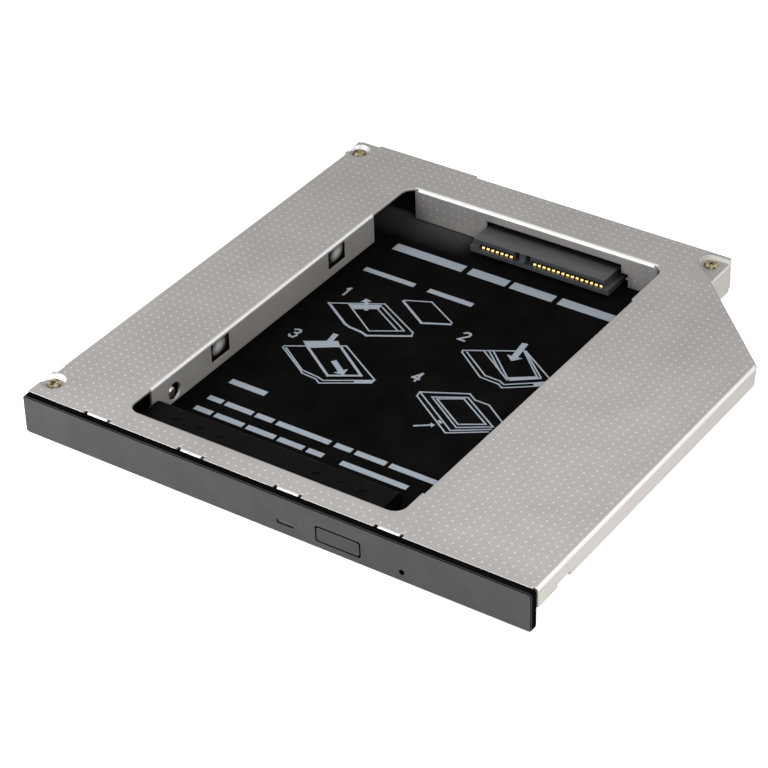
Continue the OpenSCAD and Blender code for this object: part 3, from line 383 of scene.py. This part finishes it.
# Drive socket and host plug: glass-filled liquid-crystal polymer, moulded. The glass gives it
# a dull, faintly speckled dark grey; the plug towards the laptop is a darker grade.
for name, low, high, level, piece in (
        ("grey_liquid_crystal_polymer", "383B3E", "46494C", 0.35, "drive_socket"),
        ("black_liquid_crystal_polymer", "17181A", "202124", 0.3, "host_plug")):
    polymer, tree, mm = begin(name)
    speckle = add(tree, "TexNoise", {"Vector": mm, "Scale": 5.0, "Detail": 4.0})
    flowed = add(tree, "Mapping", {0: mm, "Scale": (0.2, 1, 1)})
    flow = add(tree, "TexNoise", {"Vector": flowed.outputs[0], "Scale": 0.8, "Detail": 2.0})
    tone = add(tree, "Math", {0: speckle.outputs[0], 1: flow.outputs[0]}, operation="ADD")
    shade = add(tree, "MapRange", {0: tone.outputs[0], 1: 0.75, 2: 1.25})
    colour = add(tree, "MixRGB", {0: shade.outputs[0], 1: srgb(low), 2: srgb(high)})
    # Painted shade: the colour darkens to near black from 47.6 to 51.4 mm back, for the deeper
    # shadow at the wall's opening. The host plug lies wholly behind that and is painted near
    # black.
    depth = add(tree, "SeparateXYZ", {0: mm})
    socket_painted_shade = add(tree, "MapRange", {0: depth.outputs[1], 1: 47.6, 2: 51.4})
    colour = add(tree, "MixRGB", {0: socket_painted_shade.outputs[0], 1: colour.outputs[0],
                                  2: srgb("08090A")})
    bevel = add(tree, "Bevel", {"Radius": 0.0001}, samples=4)
    bump = add(tree, "Bump", {"Height": speckle.outputs[0], "Distance": 0.000008,
                              "Normal": bevel.outputs[0]})
    resin = add(tree, "BsdfPrincipled", {"Base Color": colour.outputs[0], "Roughness": 0.42,
                                         "IOR": 1.6, "Specular IOR Level": level,
                                         "Normal": bump.outputs[0]})
    add(tree, "OutputMaterial", {"Surface": resin.outputs[0]})
    dress(polymer, piece)

# Contacts: phosphor bronze strip, stamped, bent and flashed with gold
gold, tree, mm = begin("gold_flash_on_bronze")
drawn = add(tree, "Mapping", {0: mm, "Scale": (8, 1, 8)})
wiped = add(tree, "TexNoise", {"Vector": drawn.outputs[0], "Scale": 1.0})
shade = add(tree, "MapRange", {0: wiped.outputs[0], 1: 0.35, 2: 0.65})
colour = add(tree, "MixRGB", {0: shade.outputs[0], 1: srgb("B9904F"), 2: srgb("DDB97C")})
gloss = add(tree, "MapRange", {0: wiped.outputs[0], 1: 0.3, 2: 0.7, 3: 0.22, 4: 0.38})
metal = add(tree, "BsdfPrincipled", {"Base Color": colour.outputs[0], "Metallic": 1.0,
                                     "Roughness": gloss.outputs[0]})
add(tree, "OutputMaterial", {"Surface": metal.outputs[0]})
dress(gold, "socket_signal_contacts", "socket_power_contacts", "plug_signal_contacts",
      "plug_power_contacts")

# Board locks: tinned steel posts, soldered into the board
tin, tree, mm = begin("tinned_steel")
dull = add(tree, "TexNoise", {"Vector": mm, "Scale": 3.0, "Detail": 3.0})
colour = add(tree, "MixRGB", {0: dull.outputs[0], 1: srgb("A8A8A6"), 2: srgb("CFCECB")})
bump = add(tree, "Bump", {"Height": dull.outputs[0], "Distance": 0.00001})
metal = add(tree, "BsdfPrincipled", {"Base Color": colour.outputs[0], "Metallic": 1.0,
                                     "Roughness": 0.33, "Normal": bump.outputs[0]})
add(tree, "OutputMaterial", {"Surface": metal.outputs[0]})
dress(tin, "socket_board_locks", "plug_board_locks")

# Capacitors: tan ceramic chips, soldered flat on the board
ceramic, tree, mm = begin("tan_barium_titanate_ceramic")
fired = add(tree, "TexNoise", {"Vector": mm, "Scale": 6.0, "Detail": 3.0})
colour = add(tree, "MixRGB", {0: fired.outputs[0], 1: srgb("8A6238"), 2: srgb("A67B4B")})
bump = add(tree, "Bump", {"Height": fired.outputs[0], "Distance": 0.000006})
chip = add(tree, "BsdfPrincipled", {"Base Color": colour.outputs[0], "Roughness": 0.5,
                                    "IOR": 1.7, "Normal": bump.outputs[0]})
add(tree, "OutputMaterial", {"Surface": chip.outputs[0]})
dress(ceramic, "board_capacitors")


# Spacer bar: black ABS, moulded hollow from below, with a fine spark-eroded skin on top.
# It lies loose on the film in front of the drive.
abs_bar, tree, mm = begin("black_spark_eroded_abs")
skin = add(tree, "TexNoise", {"Vector": mm, "Scale": 4.2, "Detail": 3.0})
cloud = add(tree, "TexNoise", {"Vector": mm, "Scale": 0.15})
shade = add(tree, "MapRange", {0: cloud.outputs[0], 1: 0.35, 2: 0.65})
colour = add(tree, "MixRGB", {0: shade.outputs[0], 1: srgb("070707"), 2: srgb("0C0C0C")})
satin = add(tree, "MapRange", {0: skin.outputs[0], 1: 0.3, 2: 0.7, 3: 0.38, 4: 0.5})
bevel = add(tree, "Bevel", {"Radius": 0.00015}, samples=4)
bump = add(tree, "Bump", {"Height": skin.outputs[0], "Distance": 0.000012,
                          "Normal": bevel.outputs[0]})
plastic = add(tree, "BsdfPrincipled", {"Base Color": colour.outputs[0], "IOR": 1.53,
                                       "Specular IOR Level": 0.02,
                                       "Roughness": satin.outputs[0],
                                       "Normal": bump.outputs[0]})
add(tree, "OutputMaterial", {"Surface": plastic.outputs[0]})
dress(abs_bar, "spacer_bar")


# Top cover: one folded sheet of steel with a satin silver lacquer. Small raised dots stand on
# its face in a square grid of 2 mm; the folds and cut edges are smoother, and a painted
# highlight makes them shine more.
lacquers = []
for name, low, high in (("satin_silver_lacquer", "A19D9A", "B3AFAC"),
                        ("raised_dots_in_silver_lacquer", "C3C1BF", "CFCDCB"),
                        ("dull_dots_in_silver_lacquer", "A5A2A1", "B0ADAC"),
                        ("painted_highlight_silver_lacquer", "E8E6E4", "F4F3F2")):
    lacquer, tree, mm = begin(name)
    cloud = add(tree, "TexNoise", {"Vector": mm, "Scale": 0.06, "Detail": 3.0})
    peel = add(tree, "TexNoise", {"Vector": mm, "Scale": 1.6, "Detail": 3.0})
    flake = add(tree, "TexNoise", {"Vector": mm, "Scale": 7.0, "Detail": 2.0})
    tone = add(tree, "Math", {0: cloud.outputs[0], 1: flake.outputs[0]}, operation="ADD")
    shade = add(tree, "MapRange", {0: tone.outputs[0], 1: 0.7, 2: 1.3})
    colour = add(tree, "MixRGB", {0: shade.outputs[0], 1: srgb(low), 2: srgb(high)})
    satin = add(tree, "MapRange", {0: cloud.outputs[0], 1: 0.3, 2: 0.7, 3: 0.38, 4: 0.46})
    bump = add(tree, "Bump", {"Height": peel.outputs[0], "Distance": 0.000006})
    if not lacquers:
        # Painted highlight: folds and cut edges that face the front or the right are painted near
        # white, and made smoother
        bevel = add(tree, "Bevel", {"Radius": 0.0004}, samples=8)
        way = add(tree, "VectorMath", {0: bevel.outputs[0], 1: (0.6, -1, 0)},
                  operation="DOT_PRODUCT")
        flat = add(tree, "SeparateXYZ", {0: add(tree, "NewGeometry").outputs["Normal"]})
        turned = add(tree, "MapRange", {0: way.outputs["Value"], 1: 0.12, 2: 0.4})
        above = add(tree, "MapRange", {0: flat.outputs[2], 1: 0.15, 2: 0.45})
        painted_highlight = add(tree, "Math", {0: turned.outputs[0], 1: above.outputs[0]},
                     operation="MULTIPLY")
        # Painted light: the sides that face right are painted paler than the top
        painted_paler_right = add(tree, "MapRange", {0: flat.outputs[0], 1: 0.5, 2: 0.8})
        colour = add(tree, "MixRGB", {0: painted_paler_right.outputs[0], 1: colour.outputs[0],
                                      2: srgb("BFBAB5")})
        colour = add(tree, "MixRGB", {0: painted_highlight.outputs[0], 1: colour.outputs[0],
                                      2: srgb("F2F1F0")})
        satin = add(tree, "MapRange", {0: painted_highlight.outputs[0], 3: satin.outputs[0], 4: 0.25})
        sheen = add(tree, "MapRange", {0: flat.outputs[2], 1: 0.3, 2: 0.8, 3: 0.4, 4: 0.12})
        tree.links.new(bevel.outputs[0], bump.inputs["Normal"])
    coat = add(tree, "BsdfPrincipled", {"Base Color": colour.outputs[0], "Metallic": 0.12,
                                        "Roughness": satin.outputs[0],
                                        "Normal": bump.outputs[0]})
    if not lacquers:
        # The folded sides mirror more of the room than the dotted face
        tree.links.new(sheen.outputs[0], coat.inputs["Metallic"])
    add(tree, "OutputMaterial", {"Surface": coat.outputs[0]})
    lacquers.append(lacquer)
dress(lacquers[0], "top_cover")

# Cut edges of the slots round the spring tongues, in painted shade: dark so that the slots
# read as deep as in the photograph
slot_shade, tree, mm = begin("painted_shade_slot_edges")
torn = add(tree, "Mapping", {0: mm, "Scale": (1, 1, 6)})
scored = add(tree, "TexNoise", {"Vector": torn.outputs[0], "Scale": 2.0, "Detail": 3.0})
colour = add(tree, "MixRGB", {0: scored.outputs[0], 1: srgb("0E0D0D"), 2: srgb("24211F")})
bump = add(tree, "Bump", {"Height": scored.outputs[0], "Distance": 0.00001})
edge = add(tree, "BsdfPrincipled", {"Base Color": colour.outputs[0], "Roughness": 0.6,
                                    "Specular IOR Level": 0.1, "Normal": bump.outputs[0]})
add(tree, "OutputMaterial", {"Surface": edge.outputs[0]})

# The spring tongues are modelled flat. A painted highlight in the middle and painted shade
# at the rims stand for the bow that the photograph shows in them.
tongue_painted_light, tree, mm = begin("tongue_lacquer_painted_bow_light")
place = add(tree, "SeparateXYZ", {0: mm})
tongue_y = (41.2, 86.5)
from_middle = add(tree, "Math", {0: place.outputs[1], 1: sum(tongue_y) / 2 - 64.8},
                  operation="SUBTRACT")
folded = add(tree, "Math", {0: from_middle.outputs[0]}, operation="ABSOLUTE")
across = add(tree, "MapRange", {0: folded.outputs[0], 1: 20.3, 2: 25.6, 3: -1, 4: 1})
down = add(tree, "MapRange", {0: place.outputs[2], 1: 4.5, 2: 9.1, 3: -1, 4: 1})
spot = add(tree, "CombineXYZ", {0: across.outputs[0], 1: down.outputs[0]})
reach = add(tree, "VectorMath", {0: spot.outputs[0]}, operation="LENGTH")
peel = add(tree, "TexNoise", {"Vector": mm, "Scale": 1.6, "Detail": 3.0})
shade = add(tree, "MapRange", {0: reach.outputs["Value"], 1: 0.25, 2: 1.0})
colour = add(tree, "MixRGB", {0: shade.outputs[0], 1: srgb("F4F2F0"), 2: srgb("262422")})
bump = add(tree, "Bump", {"Height": peel.outputs[0], "Distance": 0.000006})
coat = add(tree, "BsdfPrincipled", {"Base Color": colour.outputs[0], "Metallic": 0.15,
                                    "Roughness": 0.35, "Normal": bump.outputs[0]})
add(tree, "OutputMaterial", {"Surface": coat.outputs[0]})

cover = nodes["top_cover"]
cover.data.materials.append(slot_shade)
cover.data.materials.append(tongue_painted_light)
cover.data.materials.append(lacquers[3])
for face in cover.data.polygons:
    x, y, z = (cover.matrix_world @ face.center - at(0, 0)) * 1000
    to_tongue = min(abs(y - middle) for middle in tongue_y)
    # The slots' cut edges take the painted shade, the tongues' faces the painted bow light
    if to_tongue < 3.4 and 3.6 < z < 8.45 and (21 < x < 22.3 or 91.9 < x < 93.2):
        face.material_index = 1 if abs(face.normal.x) < 0.6 else 2
    # The steep wall of the rear right recess gets the painted highlight too
    if x > 95 and 121 < y < 128.4 and z > 8.2 and abs(face.normal.z) < 0.5 \
            and face.normal.y < 0.1:
        face.material_index = 3

cover_top = 1000 * (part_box("top_cover")[1].z - cad_box[0][2])
face_back, case_w, case_d, rear_w, slant_y = 1.9, 128.0, 129.6, 103.0, 118.1
window_x, window_y = (22.2, 92.0), (8.0, 117.0)
recesses = ((2.4, 7.8), (2.4, 124.9), (99.6, 124.9))
dot_r, dot_pitch = 0.36, 2.0


def dot(shape, middle, across, out, high):
    """Low dome: a ring sunk into the sheet, a ring near the top and a middle point."""
    up = out.cross(across)
    sides = 8
    rings = []
    for r, h in ((dot_r, -0.01), (dot_r * 0.62, high * 0.75)):
        rings.append([])
        for i in range(sides):
            turn = 2 * math.pi * i / sides
            way = across * math.cos(turn) * r + up * math.sin(turn) * r + out * h
            rings[-1].append(shape.verts.new(middle + way / 1000))
    tip = shape.verts.new(middle + out * high / 1000)
    for i in range(sides):
        j = (i + 1) % sides
        shape.faces.new((rings[0][i], rings[0][j], rings[1][j], rings[1][i]))
        shape.faces.new((rings[1][i], rings[1][j], tip))
    shape.faces.new(rings[0][::-1])


def on_sheet(x, y):
    """True where the flat sheet has room for a dot."""
    edge = 1.5
    if not (edge < x < case_w - edge and face_back + edge < y < case_d - edge):
        return False
    if x + y > rear_w + slant_y - 0.6 and y < slant_y or y >= slant_y + 0.4 and x > rear_w - edge:
        return False
    if window_x[0] - edge < x < window_x[1] + edge and window_y[0] - 0.5 < y < window_y[1] + edge:
        return False
    return all(math.hypot(x - cx, y - cy) > 3.8 for cx, cy in recesses) \
        and not (x > 98 and y > 117.5)


right, back, up = Vector((1, 0, 0)), Vector((0, 1, 0)), Vector((0, 0, 1))
dots, wall_dots = bmesh.new(), bmesh.new()
for i in range(64):
    x = 126.26 - dot_pitch * i
    for j in range(63):
        y = 3.85 + dot_pitch * j
        if on_sheet(x, y):
            dot(dots, at(x, y, cover_top), right, up, 0.06)
    # The grid runs on down the rear wall of the window, beside the socket
    for z in (7.4, 5.4, 3.4):
        if 26 < x < 90 and not 41.5 < x < 81.8:
            dot(wall_dots, at(x, window_y[1], z), right, -back, 0.02)
put(dots, "cover_dots", lacquers[1], smooth=True)
put(wall_dots, "wall_dots", lacquers[2], smooth=True)


# Faceplate and button: black ABS, moulded, with a satin texture. The faces that look forward
# are painted grey as lit from the front; the edges stay black. The button snaps in from
# behind; a smoked lens fills the lamp window.
mouldings = []
for name, low, high, level in (("black_abs_edges", "080808", "0E0E0E", 0.0),
                               ("black_abs_painted_lit_front", "484849", "4E4E4F", 0.2),
                               ("button_cap_painted_lit_front", "434344", "494949", 0.2)):
    moulded, tree, mm = begin(name)
    skin = add(tree, "TexNoise", {"Vector": mm, "Scale": 4.2, "Detail": 3.0})
    cloud = add(tree, "TexNoise", {"Vector": mm, "Scale": 0.15})
    shade = add(tree, "MapRange", {0: cloud.outputs[0], 1: 0.35, 2: 0.65})
    colour = add(tree, "MixRGB", {0: shade.outputs[0], 1: srgb(low), 2: srgb(high)})
    satin = add(tree, "MapRange", {0: skin.outputs[0], 1: 0.3, 2: 0.7, 3: 0.36, 4: 0.5})
    bump = add(tree, "Bump", {"Height": skin.outputs[0], "Distance": 0.00001})
    plastic = add(tree, "BsdfPrincipled", {"Base Color": colour.outputs[0], "IOR": 1.53,
                                           "Specular IOR Level": level,
                                           "Roughness": satin.outputs[0],
                                           "Normal": bump.outputs[0]})
    add(tree, "OutputMaterial", {"Surface": plastic.outputs[0]})
    mouldings.append(moulded)
# The painted light is on the outermost faces that look forward: with the chamfer on the
# faceplate, without it on the button, so that a black line of painted shade runs round the cap
for name, front, least in (("faceplate", mouldings[1], -0.6),
                           ("eject_button", mouldings[2], -0.96)):
    dress(mouldings[0], name)
    nodes[name].data.materials.append(front)
    for face in nodes[name].data.polygons:
        if face.normal.y < least and face.center.y * 1000 < -64.2:
            face.material_index = 1

lens, tree, mm = begin("smoked_polycarbonate")
lens_haze_and_painted_film_reflection = add(tree, "TexNoise", {"Vector": mm, "Scale": 2.0})
colour = add(tree, "MixRGB", {0: lens_haze_and_painted_film_reflection.outputs[0], 1: srgb("454547"), 2: srgb("505052")})
bump = add(tree, "Bump", {"Height": lens_haze_and_painted_film_reflection.outputs[0], "Distance": 0.000004})
clear = add(tree, "BsdfPrincipled", {"Base Color": colour.outputs[0], "IOR": 1.585,
                                     "Roughness": 0.3, "Normal": bump.outputs[0]})
add(tree, "OutputMaterial", {"Surface": clear.outputs[0]})
dress(lens, "led_lens")


# Screws: steel with zinc plating, cold-headed with a cross recess. The corner screws' plating
# is a brassy grey that turns warmer and cooler in patches; the drive's lock screw is brighter.
for name, low, high, pieces in (
        ("yellow_zinc_plated_steel", "54493A", "BDB08F", ("board_screws", "cover_screws")),
        ("bright_zinc_plated_steel", "A89F95", "DAD3CB", ("drive_lock_screw",))):
    plated, tree, mm = begin(name)
    patches = add(tree, "TexNoise", {"Vector": mm, "Scale": 0.9, "Detail": 3.0})
    shade = add(tree, "MapRange", {0: patches.outputs[0], 1: 0.4, 2: 0.6})
    colour = add(tree, "MixRGB", {0: shade.outputs[0], 1: srgb(low), 2: srgb(high)})
    gloss = add(tree, "MapRange", {0: patches.outputs[0], 1: 0.3, 2: 0.7, 3: 0.25, 4: 0.42})
    bevel = add(tree, "Bevel", {"Radius": 0.0001}, samples=4)
    bump = add(tree, "Bump", {"Height": patches.outputs[0], "Distance": 0.00001,
                              "Normal": bevel.outputs[0]})
    steel = add(tree, "BsdfPrincipled", {"Base Color": colour.outputs[0], "Metallic": 1.0,
                                         "Roughness": gloss.outputs[0],
                                         "Normal": bump.outputs[0]})
    add(tree, "OutputMaterial", {"Surface": steel.outputs[0]})
    dress(plated, *pieces)
